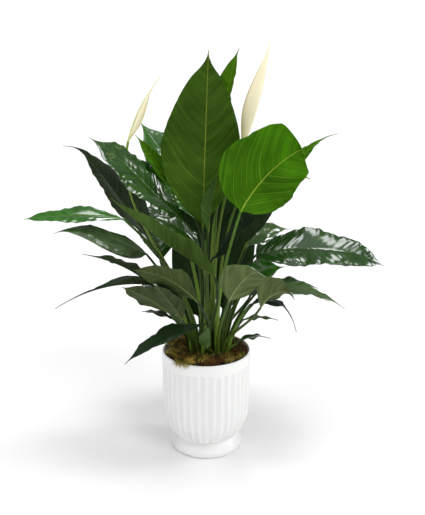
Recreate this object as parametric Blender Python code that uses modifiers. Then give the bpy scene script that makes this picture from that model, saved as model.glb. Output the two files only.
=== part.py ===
"""A potted peace lily: glossy lance-shaped leaves on long stalks and two white spathes,
growing from soil dressed with sheet moss, in a white fluted pot on a round foot.

Metres, +Z up. The origin is the centre of the pot's foot, on the surface it stands on.
-Y is the front of the plant. The plant's own points are listed in millimetres.
"""

import math

import bpy
import numpy as np

MM = 0.001
GAP = 0.4 * MM

# Pot: a turned body with upright flutes, on a low round foot
POT_FLUTES = 36
FLUTE_DEPTH = 1.9 * MM
FLUTE_TOP = 175 * MM
FLUTE_BOTTOM = 30 * MM
FLUTE_FADE = 5 * MM
# Outer outline from the lip down to the foot, as (radius, height) in millimetres
POT_OUTSIDE = [
    (0.0, 197.0), (80.2, 197.0), (82.6, 194.6), (82.6, 175.5), (82.5, 168.0),
    (82.4, 98.0), (81.2, 76.0), (77.8, 58.0), (71.8, 43.0), (63.0, 31.5), (53.5, 25.5),
    (57.5, 18.5), (62.5, 14.0), (66.6, 10.0), (67.3, 4.0), (64.6, 0.0), (0.0, 0.0),
]
# Cavity outline from above the lip down to the cavity's floor
POT_INSIDE = [
    (0.0, 205.0), (78.4, 205.0), (77.8, 175.0), (77.4, 95.0), (76.0, 72.0), (72.0, 52.0),
    (64.0, 40.0), (48.0, 33.0), (0.0, 32.0),
]
INSIDE_SIDES = 36

# Soil: fills the cavity up to below the lip
SOIL_TOP = 180 * MM
SOIL_OUTSIDE = [
    (0.0, 180.0), (77.4, 180.0), (77.0, 95.0), (75.5, 72.2), (71.5, 52.4), (63.6, 40.6),
    (47.8, 33.6), (0.0, 32.5),
]
HOLE_RADIUS = 4.2 * MM
HOLE_SIDES = 6

# Sheet moss: a lumpy ring on the soil, from the clump of stalks out to the pot's wall
MOSS_OUTER = 76.6 * MM
MOSS_COLUMNS = 48
MOSS_HEIGHT = 8.6 * MM

# The clump of stalks stands behind and a little to the right of the pot's axis
CLUMP = np.array([6.0, 24.0]) * MM
CLUMP_RADIUS = 39 * MM
CLUMP_OPENING = 46.5 * MM
FOOT_ROOM = 9.4 * MM
STALK_ROOM = 1.0 * MM
STALK_DEPTH = 11 * MM

# Leaf stalk radii from its foot in the soil, past the sheath, up to the knee
STALK_STATIONS = (0.0, 0.08, 0.36, 0.68)
STALK_RADII = (3.1 * MM, 3.9 * MM, 3.3 * MM, 2.6 * MM)
PEG_RADIUS = 3.0 * MM
KNEE_RADIUS = 2.1 * MM
TIP_RADIUS = 0.6 * MM
BLADE_THICKNESS = 0.9 * MM
BLADE_STATIONS = (0.045, 0.12, 0.23, 0.36, 0.50, 0.64, 0.77, 0.88, 0.96)
# The blade keeps its full form up to this share of it, then narrows along its drip tip
FULL_BLADE = 0.96
TAPER_RING = 0.4
SMALL_BLADE = 37 * MM
RIB_SAMPLES = 97
STALK_SAMPLES = 41
RING_POINTS = 8
# Round a blade: share of the half width, and which face: upper 1, under -1 or margin 0
RING_PLACES = (
    (1, 0), (0.5, 1), (0, 1), (-0.5, 1), (-1, 0), (-0.5, -1), (0, -1), (0.5, -1),
)
UP = np.array([0.0, 0.0, 1.0])


def leaf(knee, tip, width, face, arch=16, fold=20, curl=-30, roll=0, wave=2.5,
         waves=2.5, drip=0.10, nod=0, nod_from=0.55, peak=0.47, uneven=0, sway=0,
         blunt=0, straight=0.4, taper=1.9):
    """One leaf. knee is where its stalk meets the blade and tip is the blade's far end, in
    millimetres. face is the way the blade's upper side looks at the knee, arch bulges the
    rib towards that side and sway bends it sideways. fold and curl are the angle of each
    half at the rib and how far it bends on the way to the margin. roll turns the blade about
    its rib. nod bends its end down, past the tip given, from the share nod_from. drip is the
    thin end's share of the length, peak is where the blade is widest, blunt makes its ends
    fuller and uneven makes one half wider. straight is how far the stalk arrives in line
    with the rib, and taper is the power by which the drip tip narrows."""
    return dict(
        knee=np.array(knee) * MM, tip=np.array(tip) * MM, width=width * MM,
        face=np.array(face, dtype=float), arch=arch * MM, fold=math.radians(fold),
        curl=math.radians(curl), roll=math.radians(roll), wave=wave * MM, waves=waves,
        drip=drip, nod=math.radians(nod), nod_from=nod_from, peak=peak, uneven=uneven,
        sway=sway * MM, blunt=blunt, straight=straight, taper=taper,
    )


LEAVES = [
    # 1 to 4: the tall ones in the middle of the front
    leaf((-6, -25, 437), (5, -32, 738), 138, (0.05, 1, 0.1), arch=-6, fold=12, curl=-14, roll=14,
         uneven=0.08, drip=0.08, blunt=0.06),
    leaf((58, -95, 482), (168, -78, 590), 136, (0, 1, 0.25), arch=8, sway=10, fold=8, curl=-12,
         wave=6, nod=100, nod_from=0.84, drip=0.08, peak=0.43, uneven=0.14, blunt=0.5),
    leaf((20, 35, 510), (57, 35, 738), 62, (-0.6, -0.8, 0), fold=30, curl=10, drip=0.06),
    leaf((4, -62, 438), (19, -66, 541), 42, (-1, 0.3, 0), arch=0, fold=60, curl=-15, drip=0.05),
    # 5 to 18: the left side, from the top down to the pot
    leaf((-32, 4, 432), (-190, -8, 602), 84, (0.62, -0.45, 0.55), arch=-4, nod=20, wave=5,
         drip=0.13, peak=0.6, blunt=0.4),
    leaf((-7, 86, 408), (-124, 104, 605), 112, (0.3, -0.75, 0.55), fold=24, curl=-20,
         peak=0.55),
    leaf((-62, 46, 488), (-126, 50, 587), 32, (0.2, -0.9, 0.3), fold=45, curl=-20),
    leaf((-102, 62, 385), (-248, 88, 584), 116, (0.5, 0.7, 0.6), arch=0, nod=55, nod_from=0.75,
         drip=0.2, uneven=-0.15),
    leaf((14, -82, 366), (-152, -120, 511), 74, (0.6, 0.4, 0.7), arch=-6, fold=46, curl=-10,
         peak=0.42, blunt=0.2),
    leaf((-141, -45, 456), (-309, -60, 460), 50, (0, -0.3, 0.95), arch=8, wave=2.2, waves=2,
         drip=0.06, blunt=0.2),
    leaf((-105, -20, 385), (-262, -56, 456), 62, (0.2, -0.4, 0.9), arch=10, fold=15, curl=-70,
         nod=40, drip=0.16, peak=0.38, blunt=0.2),
    leaf((-13, -118, 332), (-117, -138, 395), 70, (0.3, 0.9, 0.5), arch=14, fold=20, drip=0.03),
    leaf((-97, -50, 340), (-213, -62, 399), 58, (0.3, 0.5, 0.8), arch=8, fold=30, drip=0.14),
    leaf((-93, -76, 349), (-251, -130, 324), 28, (0, 0, 1), arch=16, fold=50, curl=-6, drip=0.4,
         peak=0.35),
    leaf((-63, -60, 288), (-143, -90, 348), 78, (0.3, 0.8, 0.5), arch=6, fold=25, blunt=0.1),
    leaf((-41, -86, 287), (-90, -108, 362), 56, (0.3, 0.7, 0.6), arch=4, fold=20),
    leaf((-4, -92, 280), (-136, -148, 231), 42, (0, -0.2, 1), arch=18, fold=20, curl=-40),
    leaf((-3, -62, 226), (6, -98, 278), 26, (0, -0.6, 0.5), arch=4, fold=35, drip=0.05),
    # 19 to 34: the right side, from the middle outwards
    leaf((39, -112, 331), (98, -112, 395), 92, (-0.25, 0.8, 0.5), arch=10, fold=16, curl=-30,
         nod=55, nod_from=0.55, drip=0.05, uneven=0.14, blunt=0.3),
    leaf((74, -30, 352), (140, -32, 366), 44, (0, -0.85, 0.5), arch=8, drip=0.2),
    leaf((95, -72, 303), (159, -78, 330), 92, (-0.3, 0.75, 0.55), arch=18, fold=34, curl=-30,
         nod=30, drip=0.08),
    leaf((81, 4, 281), (163, -40, 245), 66, (0.1, 0.2, 1), arch=30, curl=-50, drip=0.4),
    leaf((87, -60, 397), (306, -95, 394), 80, (0, -0.59, 0.81), arch=27, fold=18, curl=-24,
         wave=4, nod=12, drip=0.06, peak=0.4, blunt=0.2),
    leaf((72, -18, 398), (148, 0, 426), 54, (0, -0.3, 1), arch=16),
    leaf((12, -40, 385), (127, -60, 513), 84, (-0.6, -0.1, 0.8), arch=-26, fold=58, curl=-10),
    leaf((62, 110, 527), (148, 128, 466), 74, (0.2, -0.2, 1), arch=16),
    leaf((70, 30, 500), (188, 35, 510), 60, (0, -0.5, 0.85), arch=22, peak=0.6),
    leaf((104, 68, 453), (231, 68, 599), 42, (-0.6, -0.3, 0.7), arch=8, nod=30, nod_from=0.7,
         drip=0.14),
    leaf((-5, 0, 397), (-47, 0, 512), 60, (0.7, 0.5, 0.4), arch=4, fold=40),
    leaf((-10, -30, 398), (-98, -28, 458), 48, (0.2, -0.4, 0.9), arch=12, fold=25),
    leaf((69, 25, 243), (136, 32, 239), 15, (0, -0.2, 1), arch=6, drip=0.2),
    leaf((57, -15, 213), (118, -22, 225), 28, (0, 0, 1), arch=8, drip=0.25),
    leaf((103, 42, 300), (211, 46, 298), 34, (0, -0.3, 1), arch=12),
    leaf((113, 12, 306), (255, -2, 275), 52, (0, -0.1, 1), arch=18, drip=0.2),
    leaf((-56, -30, 264), (-115, -42, 285), 20, (0.2, -0.2, 1), arch=6),
    # 36 to 47: the back, from the top down, and those that fill the middle
    leaf((32, 98, 232), (95, 146, 510), 80, (-0.2, -0.9, 0.2), arch=10, peak=0.36),
    leaf((-14, 72, 228), (-56, 138, 500), 84, (0.2, -0.9, 0.2), arch=10, peak=0.33),
    leaf((7, 116, 240), (16, 188, 620), 104, (0, -0.9, 0.3), arch=12, peak=0.36),
    leaf((96, 85, 330), (195, 160, 362), 80, (-0.4, -0.4, 0.8), arch=14),
    leaf((-90, 112, 330), (-118, 235, 420), 80, (0.2, -0.4, 0.8), arch=14),
    leaf((26, 130, 260), (15, 285, 335), 92, (0, -0.6, 0.8), arch=26),
    leaf((84, 100, 260), (145, 230, 250), 74, (-0.2, -0.4, 0.9), arch=20),
    leaf((-78, 96, 245), (-120, 230, 232), 76, (0.2, -0.4, 0.9), arch=20),
    leaf((105, 60, 346), (290, 120, 362), 76, (-0.2, -0.1, 1), arch=16),
]

# Blooms: base and tip of each spathe, in millimetres
BLOOMS = [
    leaf((62, 10, 567), (108, 10, 752), 60, (-0.9, -0.1, 0.3), arch=-8, fold=12, curl=135,
         wave=0, drip=0.12, straight=1, taper=1.1),
    leaf((-138, 34, 577), (-78, 34, 691), 30, (0.8, -0.3, -0.4), arch=-8, fold=15, curl=110,
         wave=0, drip=0.25, straight=1, taper=1.3),
]
SPADIX_RADIUS = 3.4 * MM
# Cosine of the spathe's slope beside its rib, where the spadix's foot is seated
SPATHE_SLOPE = 0.70
SPADIX_SHARE = 0.36


def unit(vectors):
    return vectors / np.maximum(np.linalg.norm(vectors, axis=-1, keepdims=True), 1e-12)


def smooth(share):
    share = np.clip(share, 0, 1)
    return share * share * (3 - 2 * share)


def carried(along, first):
    """Normals carried along a line without twisting, starting from the first one."""
    normals = [unit(first - (first @ along[0]) * along[0])]
    for direction in along[1:]:
        last = normals[-1]
        normals.append(unit(last - (last @ direction) * direction))
    return np.array(normals)


def rib_of(row):
    """The rib from knee to tip: its points, directions and the blade's upper side."""
    share = np.linspace(0, 1, RIB_SAMPLES)[:, None]
    chord = unit(row["tip"] - row["knee"])
    rise = unit(row["face"] - (row["face"] @ chord) * chord)
    side = np.cross(chord, rise)
    halfway = (row["knee"] + row["tip"]) / 2
    pull = halfway + 2 * (row["arch"] * rise + row["sway"] * side)
    line = (1 - share) ** 2 * row["knee"] + 2 * share * (1 - share) * pull + share ** 2 * row["tip"]
    steps = np.diff(line, axis=0)
    angle = -row["nod"] * smooth((share[1:] - row["nod_from"]) / (1 - row["nod_from"]))
    steps = steps * np.cos(angle) + np.cross(side, steps) * np.sin(angle)
    line = row["knee"] + np.concatenate([np.zeros((1, 3)), np.cumsum(steps, axis=0)])
    along = unit(np.gradient(line, axis=0))
    normals = carried(along, row["face"])
    normals = normals * math.cos(row["roll"]) + np.cross(along, normals) * math.sin(row["roll"])
    return line, along, normals


def stalk_line(row, foot, rib, bow):
    """The middle of a stalk from the soil to the knee, leaving the soil nearly upright."""
    share = np.linspace(0, 1, STALK_SAMPLES)[:, None]
    start = np.array([foot[0], foot[1], SOIL_TOP + 1 * MM])
    reach = row["knee"] - start
    length = np.linalg.norm(reach)
    leaving = start + UP * 0.34 * length + bow * (0.7, 0.7, 0.2)
    arriving = unit((1 - row["straight"]) * unit(reach) + row["straight"] * rib[1][0])
    nearing = row["knee"] - arriving * 0.34 * length + bow
    return (
        (1 - share) ** 3 * start + 3 * share * (1 - share) ** 2 * leaving
        + 3 * share ** 2 * (1 - share) * nearing + share ** 3 * row["knee"]
    )


def stalk_of(row, foot, rib, bow):
    line = stalk_line(row, foot, rib, bow)
    along = unit(np.gradient(line, axis=0))
    normals = carried(along[::-1], rib[2][0])[::-1]
    return line, along, normals


def bows_of(rows, feet, ribs):
    """How far each stalk bows, so that it passes the others with some room."""
    bows = np.zeros((len(rows), 3))
    share = np.linspace(0, 1, STALK_SAMPLES)
    radius = np.interp(share, (*STALK_STATIONS, 1), (*STALK_RADII, KNEE_RADIUS))
    room = radius[:, None] + radius[None] + STALK_ROOM
    weight = 3 * share * (1 - share) + 0.08
    for _ in range(80):
        lines = [stalk_line(*item) for item in zip(rows, feet, ribs, bows)]
        moves = np.zeros_like(bows)
        for one in range(len(rows)):
            for other in range(one + 1, len(rows)):
                between = lines[one][:, None] - lines[other][None]
                distance = np.linalg.norm(between, axis=2)
                short = room - distance
                place = np.unravel_index(np.argmax(short), short.shape)
                if short[place] <= 0:
                    continue
                push = between[place] / max(distance[place], 1e-6) * short[place] * 0.35
                moves[one] += push / weight[place[0]]
                moves[other] -= push / weight[place[1]]
        bows = bows + np.clip(moves, -4 * MM, 4 * MM)
        if not moves.any():
            break
    return bows


def sampled(line, share):
    """A line's point, direction and normal at this share of it."""
    steps = np.linspace(0, 1, len(line[0]))
    return [np.array([np.interp(share, steps, values) for values in part.T]) for part in line]


def outline(row, share):
    """The blade's width here over its greatest width, from the knee to the thin end."""
    full = FULL_BLADE * (1 - row["drip"])
    taper = min(1, (1 - share) / (1 - full)) ** row["taper"]
    share = min(full, share) / (1 - row["drip"])
    stretch = math.log(0.5) / math.log(row["peak"])
    return math.sin(math.pi * share ** stretch) ** (1.25 - 0.6 * share - row["blunt"]) * taper


def cross_section(across_share, half_width, fold, curl):
    """Where a point of the blade lies from the rib, across and up, and its slope there."""
    slope = fold + curl * abs(across_share)
    across = math.copysign(1, across_share) * half_width * (math.sin(slope) - math.sin(fold)) / curl
    up = half_width * (math.cos(fold) - math.cos(slope)) / curl
    return across, up, math.copysign(slope, across_share)


def round_ring(centre, along, normal, radius):
    side = np.cross(along, normal)
    angles = np.arange(RING_POINTS) * 2 * math.pi / RING_POINTS
    return centre + radius * (np.outer(np.cos(angles), side) + np.outer(np.sin(angles), normal))


def blade_ring(row, rib, share, phase, thickness):
    """Eight points round the blade: margin, upper side, margin and under side with its rib."""
    centre, along, normal = sampled(rib, share)
    along = unit(along)
    side = unit(np.cross(along, normal))
    normal = np.cross(side, along)
    rib_radius = KNEE_RADIUS + (TIP_RADIUS - KNEE_RADIUS) * share ** 0.7
    full_width = row["width"] / 2 * outline(row, share)
    fold = row["fold"] * (1.25 - 0.5 * share)
    ring = []
    for across_share, face in RING_PLACES:
        wider = 1 + math.copysign(row["uneven"], across_share)
        half_width = math.hypot(full_width * wider, rib_radius)
        broad = min(1, half_width / (6 * MM))
        across, up, slope = cross_section(across_share, half_width, fold, row["curl"])
        turn = 2 * math.pi * row["waves"] * share + phase + (1.9 if across_share < 0 else 0)
        swell = math.sin(math.pi * min(1, share * 1.05))
        off = face * thickness / 2
        if across_share == 0:
            off = thickness / 2 if face > 0 else -rib_radius
        off = off + row["wave"] * broad * swell * across_share ** 2 * math.sin(turn)
        across = across - off * math.sin(slope) if across_share else across
        up = up + off * (math.cos(slope) if across_share else 1)
        ring.append(centre + across * side + up * normal)
    return np.array(ring)


def loft(rings):
    """A closed solid through rings of eight points, split alike on the upper and under side."""
    points = np.concatenate(rings)
    faces = []
    for start in range(0, len(points) - RING_POINTS, RING_POINTS):
        for margin, top, under in ((0, 1, 7), (1, 2, 6), (3, 2, 6), (4, 3, 5)):
            for outer, inner in ((margin, top), (margin if margin in (0, 4) else 8 - margin, under)):
                before = (outer - inner) % RING_POINTS == 1
                corners = [(start + inner, start + outer, start + RING_POINTS + outer)]
                corners.append((start + inner, start + RING_POINTS + outer, start + RING_POINTS + inner))
                faces += corners if before else [triangle[::-1] for triangle in corners]
    last = len(points) - RING_POINTS
    for corner in range(1, RING_POINTS - 1):
        faces.append((0, corner + 1, corner))
        faces.append((last, last + corner, last + corner + 1))
    return points, facing_out(points, np.array(faces))


def facing_out(points, faces):
    """Turns all the triangles round if together they enclose a negative volume."""
    corners = points[faces]
    volume = np.einsum("ij,ij->i", corners[:, 0], np.cross(corners[:, 1], corners[:, 2])).sum()
    return faces if volume > 0 else faces[:, ::-1]


def peg_rings(stalk):
    """The two level rings at the stalk's foot: its end in the soil and where it leaves it."""
    level = unit(stalk[2][0] * (1, 1, 0))
    rings = []
    for depth in (STALK_DEPTH + 1 * MM, 0):
        rings.append(round_ring(stalk[0][0] - UP * depth, UP, level, PEG_RADIUS))
    return rings


def leaf_rings(row, foot, rib, bow, phase):
    stalk = stalk_of(row, foot, rib, bow)
    rings = peg_rings(stalk)
    for share, radius in zip(STALK_STATIONS[1:], STALK_RADII[1:]):
        rings.append(round_ring(*sampled(stalk, share), radius))
    rings.append(round_ring(row["knee"], unit(stalk[1][-1] + rib[1][0]), rib[2][0], KNEE_RADIUS))
    for station in BLADE_STATIONS if row["width"] > SMALL_BLADE else BLADE_STATIONS[1::2]:
        rings.append(blade_ring(row, rib, station * (1 - row["drip"]), phase, BLADE_THICKNESS))
    full = FULL_BLADE * (1 - row["drip"])
    rings.append(blade_ring(row, rib, full + TAPER_RING * (1 - full), phase, BLADE_THICKNESS))
    rings.append(blade_ring(row, rib, 1.0, phase, 2 * TIP_RADIUS))
    return rings


def spread_feet(starts):
    """Pushes the stalks' feet apart until each has its room, inside the clump's circle."""
    feet = starts.copy()
    for turn in range(900):
        between = feet[:, None] - feet[None]
        distance = np.linalg.norm(between, axis=2) + 1e-9
        short = np.clip(FOOT_ROOM * 1.02 - distance, 0, None)
        np.fill_diagonal(short, 0)
        feet = feet + (between / distance[..., None] * short[..., None]).sum(axis=1) * 0.3
        feet = feet + (starts - feet) * 0.02 * max(0, 1 - turn / 600)
        away = feet - CLUMP
        reach = np.linalg.norm(away, axis=1, keepdims=True)
        feet = CLUMP + away * np.minimum(1, CLUMP_RADIUS / np.maximum(reach, 1e-9))
    return feet


def feet_of(rows):
    """Upright leaves stand in the middle of the clump and leaning ones at its edge, each on
    the side that it leans to."""
    starts = []
    for row in rows:
        lean = row["knee"][:2] * 0.8 + row["tip"][:2] * 0.2 - CLUMP
        reach = np.linalg.norm(lean)
        height = row["knee"][2] - SOIL_TOP
        starts.append(CLUMP + lean / reach * CLUMP_RADIUS * min(1, 1.3 * reach / height))
    return spread_feet(np.array(starts))


def material(name, colour, roughness, metallic=0.0):
    made = bpy.data.materials.new(name)
    made.use_nodes = True
    shader = made.node_tree.nodes["Principled BSDF"]
    shader.inputs["Base Color"].default_value = (*colour, 1)
    shader.inputs["Roughness"].default_value = roughness
    shader.inputs["Metallic"].default_value = metallic
    made.diffuse_color = (*colour, 1)
    return made


def add_mesh(name, points, faces, collection, finish=None, smoothed=True):
    mesh = bpy.data.meshes.new(name)
    mesh.from_pydata([tuple(p) for p in points], [], [tuple(int(i) for i in f) for f in faces])
    mesh.validate()
    for polygon in mesh.polygons:
        polygon.use_smooth = smoothed
    made = bpy.data.objects.new(name, mesh)
    collection.objects.link(made)
    if finish:
        mesh.materials.append(finish)
    return made


def turned(name, profile, sides, collection, finish=None):
    """A solid turned from an outline that runs down its outer side."""
    points = [(radius * MM, 0, height * MM) for radius, height in profile]
    mesh = bpy.data.meshes.new(name)
    mesh.from_pydata(points, [(i, i + 1) for i in range(len(points) - 1)], [])
    made = bpy.data.objects.new(name, mesh)
    collection.objects.link(made)
    screw = made.modifiers.new("Turn", "SCREW")
    screw.steps = sides
    screw.render_steps = sides
    screw.use_merge_vertices = True
    screw.merge_threshold = 0.00001
    screw.use_smooth_shade = True
    if finish:
        mesh.materials.append(finish)
    return made


def baked(made):
    """The object with its modifiers applied, as a plain mesh."""
    evaluated = made.evaluated_get(bpy.context.evaluated_depsgraph_get())
    mesh = bpy.data.meshes.new_from_object(evaluated)
    made.modifiers.clear()
    made.data = mesh
    return made


def cut(made, cutter, solver="EXACT"):
    boolean = made.modifiers.new("Cut", "BOOLEAN")
    boolean.operation = "DIFFERENCE"
    boolean.object = cutter
    boolean.solver = solver
    return boolean


def build_pot(parts, cutters, glaze):
    """The turned body with shallow concave flutes pressed in all round, and its cavity."""
    pot = baked(turned("pot", POT_OUTSIDE, POT_FLUTES * 2, parts, glaze))
    for vertex in pot.data.vertices:
        x, y, z = vertex.co
        radius = math.hypot(x, y)
        if radius < 55 * MM or not FLUTE_BOTTOM < z < FLUTE_TOP + 0.1 * MM:
            continue
        inside = min(FLUTE_TOP - z, z - FLUTE_BOTTOM) / FLUTE_FADE
        valley = 0.5 - 0.5 * math.cos(POT_FLUTES * math.atan2(y, x))
        share = 1 - FLUTE_DEPTH * min(1, max(0, inside)) * valley / radius
        vertex.co = (x * share, y * share, z)
    pot.data.set_sharp_from_angle(angle=math.radians(22))
    hollow = turned("pot_cavity", POT_INSIDE, INSIDE_SIDES, cutters)
    cut(pot, hollow)
    return pot


def build_soil(feet, parts, cutters, finish):
    """The soil under the moss, with a plain hole for each stalk."""
    soil = turned("soil", SOIL_OUTSIDE, INSIDE_SIDES, parts, finish)
    points = []
    faces = []
    bottom = SOIL_TOP - STALK_DEPTH - GAP
    for foot in feet:
        first = len(points)
        for height in (bottom, SOIL_TOP + 5 * MM):
            for corner in range(HOLE_SIDES):
                angle = 2 * math.pi * (corner + 0.5) / HOLE_SIDES
                x = foot[0] + HOLE_RADIUS * math.cos(angle)
                y = foot[1] + HOLE_RADIUS * math.sin(angle)
                points.append((x, y, height))
        faces.append([first + i for i in range(HOLE_SIDES)][::-1])
        faces.append([first + HOLE_SIDES + i for i in range(HOLE_SIDES)])
        for i in range(HOLE_SIDES):
            j = (i + 1) % HOLE_SIDES
            faces.append([first + i, first + j, first + HOLE_SIDES + j, first + HOLE_SIDES + i])
    holes = add_mesh("stalk_holes", points, faces, cutters, smoothed=False)
    cut(soil, holes)
    return soil


def moss_height(x, y):
    """The moss's lumps: four crossed ripples of 12 to 30 mm, in metres."""
    lumps = 0.34 * math.sin(x / 0.0041 + 1.3) * math.sin(y / 0.0047 + 0.4)
    lumps += 0.28 * math.sin(x / 0.0071 - y / 0.0052 + 2.1)
    lumps += 0.20 * math.sin(x / 0.0028 + y / 0.0033)
    return MOSS_HEIGHT * (0.82 + 0.32 * lumps)


def build_moss(parts, finish):
    rows = 7
    points = []
    for column in range(MOSS_COLUMNS):
        angle = 2 * math.pi * column / MOSS_COLUMNS
        outward = np.array([math.cos(angle), math.sin(angle)])
        middle = CLUMP @ outward
        inner = middle + math.sqrt(CLUMP_OPENING ** 2 - CLUMP @ CLUMP + middle ** 2)
        for row in range(rows):
            share = (0, 0, 0.25, 0.55, 0.82, 1, 1)[row]
            rim = (0, 0.55, 1, 1, 1, 0.5, 0)[row]
            x, y = outward * (inner + (MOSS_OUTER - inner) * share)
            points.append((x, y, SOIL_TOP + GAP + rim * moss_height(x, y)))
    faces = []
    for column in range(MOSS_COLUMNS):
        here = column * rows
        there = (column + 1) % MOSS_COLUMNS * rows
        for row in range(rows):
            above = (row + 1) % rows
            faces.append((here + row, there + row, there + above))
            faces.append((here + row, there + above, here + above))
    points = np.array(points)
    return add_mesh("moss", points, facing_out(points, np.array(faces)), parts, finish)


def build_bloom(number, row, foot, rib, bow, parts, finishes):
    """A spathe rolled round its spadix, on a long stalk of its own."""
    green, cream, spike = finishes
    stalk = stalk_of(row, foot, rib, bow)
    rings = peg_rings(stalk)
    for share, radius in zip((0.08, 0.25, 0.45, 0.65, 0.83, 1.0), (3.3, 2.8, 2.6, 2.4, 2.3, 2.3)):
        rings.append(round_ring(*sampled(stalk, share), radius * MM))
    add_mesh(f"bloom_{number}_stalk", *loft(rings), parts, green)
    start = 0.4 * MM / np.linalg.norm(row["tip"] - row["knee"])
    rings = [round_ring(*sampled(rib, start), KNEE_RADIUS * 1.3)]
    for station in (0.05, 0.12, 0.21, 0.32, 0.44, 0.56, 0.68, 0.79, 0.89, 0.97):
        rings.append(blade_ring(row, rib, station * (1 - row["drip"]), 0, BLADE_THICKNESS))
    rings.append(blade_ring(row, rib, 1.0, 0, 2 * TIP_RADIUS))
    add_mesh(f"bloom_{number}_spathe", *loft(rings), parts, cream)
    rings = []
    for place in (0.0, 0.1, 0.4, 0.8, 0.96, 1.0):
        share = 0.16 + SPADIX_SHARE * place
        centre, along, normal = sampled(rib, share)
        room = row["width"] / 2 * outline(row, share)
        radius = min(SPADIX_RADIUS, 0.14 * room) * (0.5 if place in (0.0, 1.0) else 1.0)
        seated = (radius + BLADE_THICKNESS / 2 + 0.35 * MM) / SPATHE_SLOPE
        lift = 0.36 * room if place else seated
        rings.append(round_ring(centre + normal * lift, along, normal, radius))
    add_mesh(f"bloom_{number}_spadix", *loft(rings), parts, spike)


def main():
    for old in list(bpy.data.objects):
        bpy.data.objects.remove(old, do_unlink=True)
    parts = bpy.data.collections.new("potted_peace_lily")
    cutters = bpy.data.collections.new("cutters")
    bpy.context.scene.collection.children.link(parts)
    bpy.context.scene.collection.children.link(cutters)
    cutters.hide_render = True

    glaze = material("white_glaze", (0.82, 0.82, 0.80), 0.28)
    earth = material("potting_soil", (0.035, 0.022, 0.013), 0.95)
    moss = material("sheet_moss", (0.13, 0.11, 0.02), 0.95)
    leaf_green = material("leaf", (0.018, 0.075, 0.010), 0.32)
    stalk_green = material("bloom_stalk", (0.16, 0.28, 0.04), 0.45)
    cream = material("spathe", (0.80, 0.77, 0.60), 0.5)
    spike = material("spadix", (0.72, 0.66, 0.36), 0.7)

    rows = LEAVES + BLOOMS
    feet = feet_of(rows)
    ribs = [rib_of(row) for row in rows]
    bows = bows_of(rows, feet, ribs)
    build_pot(parts, cutters, glaze)
    build_soil(feet, parts, cutters, earth)
    build_moss(parts, moss)
    for index, row in enumerate(LEAVES):
        name = f"leaf_{index + 1:02d}"
        rings = leaf_rings(row, feet[index], ribs[index], bows[index], 1.7 * index)
        add_mesh(name, *loft(rings), parts, leaf_green)
    finishes = (stalk_green, cream, spike)
    for index, row in enumerate(BLOOMS):
        place = len(LEAVES) + index
        build_bloom(index + 1, row, feet[place], ribs[place], bows[place], parts, finishes)
    for cutter in cutters.objects:
        cutter.hide_render = True
        cutter.display_type = "WIRE"
    count = len(parts.objects)
    print(f"{count} parts")


main()
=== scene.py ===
"""Looks of the potted peace lily: its leaves with their veins, its rolled spathes, the moss
and the glazed fluted pot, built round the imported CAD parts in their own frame.

Metres, +Z up, -Y towards the front of the plant. The plant's own points are in millimetres.
"""

import math

import bpy
import numpy as np
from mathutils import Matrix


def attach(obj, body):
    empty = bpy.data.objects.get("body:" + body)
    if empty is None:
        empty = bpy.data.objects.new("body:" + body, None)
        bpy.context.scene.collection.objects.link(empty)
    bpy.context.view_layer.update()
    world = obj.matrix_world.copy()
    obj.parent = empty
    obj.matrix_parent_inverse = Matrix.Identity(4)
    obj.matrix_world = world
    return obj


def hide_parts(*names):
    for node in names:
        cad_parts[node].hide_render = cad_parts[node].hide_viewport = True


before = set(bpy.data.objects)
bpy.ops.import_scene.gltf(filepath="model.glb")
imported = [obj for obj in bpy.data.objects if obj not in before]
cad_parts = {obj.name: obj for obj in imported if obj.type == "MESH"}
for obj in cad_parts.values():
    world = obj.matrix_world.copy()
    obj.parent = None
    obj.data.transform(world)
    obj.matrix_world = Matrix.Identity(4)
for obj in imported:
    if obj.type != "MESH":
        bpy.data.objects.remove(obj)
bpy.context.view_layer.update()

MM = 0.001
UP = np.array([0.0, 0.0, 1.0])
rng = np.random.default_rng(51)

# Named sizes, as on the CAD parts
POT_FLUTES = 36
FLUTE_DEPTH = 1.9 * MM
FLUTE_TOP = 175 * MM
FLUTE_BOTTOM = 30 * MM
SOIL_TOP = 180 * MM
CLUMP = np.array([6.0, 24.0]) * MM
CLUMP_RADIUS = 39 * MM
CLUMP_OPENING = 46.5 * MM
FOOT_ROOM = 9.4 * MM
STALK_ROOM = 1.0 * MM
STALK_DEPTH = 11 * MM
STALK_STATIONS = (0.0, 0.08, 0.36, 0.68)
STALK_RADII = (3.1 * MM, 3.9 * MM, 3.3 * MM, 2.6 * MM)
KNEE_RADIUS = 2.1 * MM
TIP_RADIUS = 0.6 * MM
FULL_BLADE = 0.96
RIB_SAMPLES = 97
STALK_SAMPLES = 41
SPADIX_RADIUS = 3.4 * MM
SPADIX_SHARE = 0.36
MOSS_OUTER = 76.6 * MM
MOSS_HEIGHT = 8.6 * MM

# Sizes of the finer pieces and of their patterns
FLUTE_SHARE = 0.86
BODY_RADIUS = 82 * MM
WAIST_RADIUS = 53 * MM
BLADE_THICKNESS = 0.6 * MM
BLADE_COLUMN = 2.6 * MM
BLADE_ROW = 2.0 * MM
RIB_STRIP = 4 * MM
WAVED_HALF_WIDTH = 6 * MM
QUILTED_HALF_WIDTH = 14 * MM
FULL_QUILT_WIDTH = 90 * MM
SHADE_BAND_LENGTH = 55 * MM
RIB_HALF_WIDTHS = (1.5 * MM, 0.3 * MM)
SPATHE_THICKNESS = 0.7 * MM
SPATHE_VEIN_SPACING = 4.2 * MM
BLOOM_SIDES = 16
BLOOM_STALK_STATIONS = (0, 0.08, 0.25, 0.45, 0.65, 0.83, 1.0)
BLOOM_STALK_RADII = (3.0, 3.3, 2.8, 2.6, 2.4, 2.3, 2.3)
STRAND_RADII = (0.75, 0.65, 0.45, 0.1)
ROOT_RADIUS = 75.5 * MM

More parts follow.
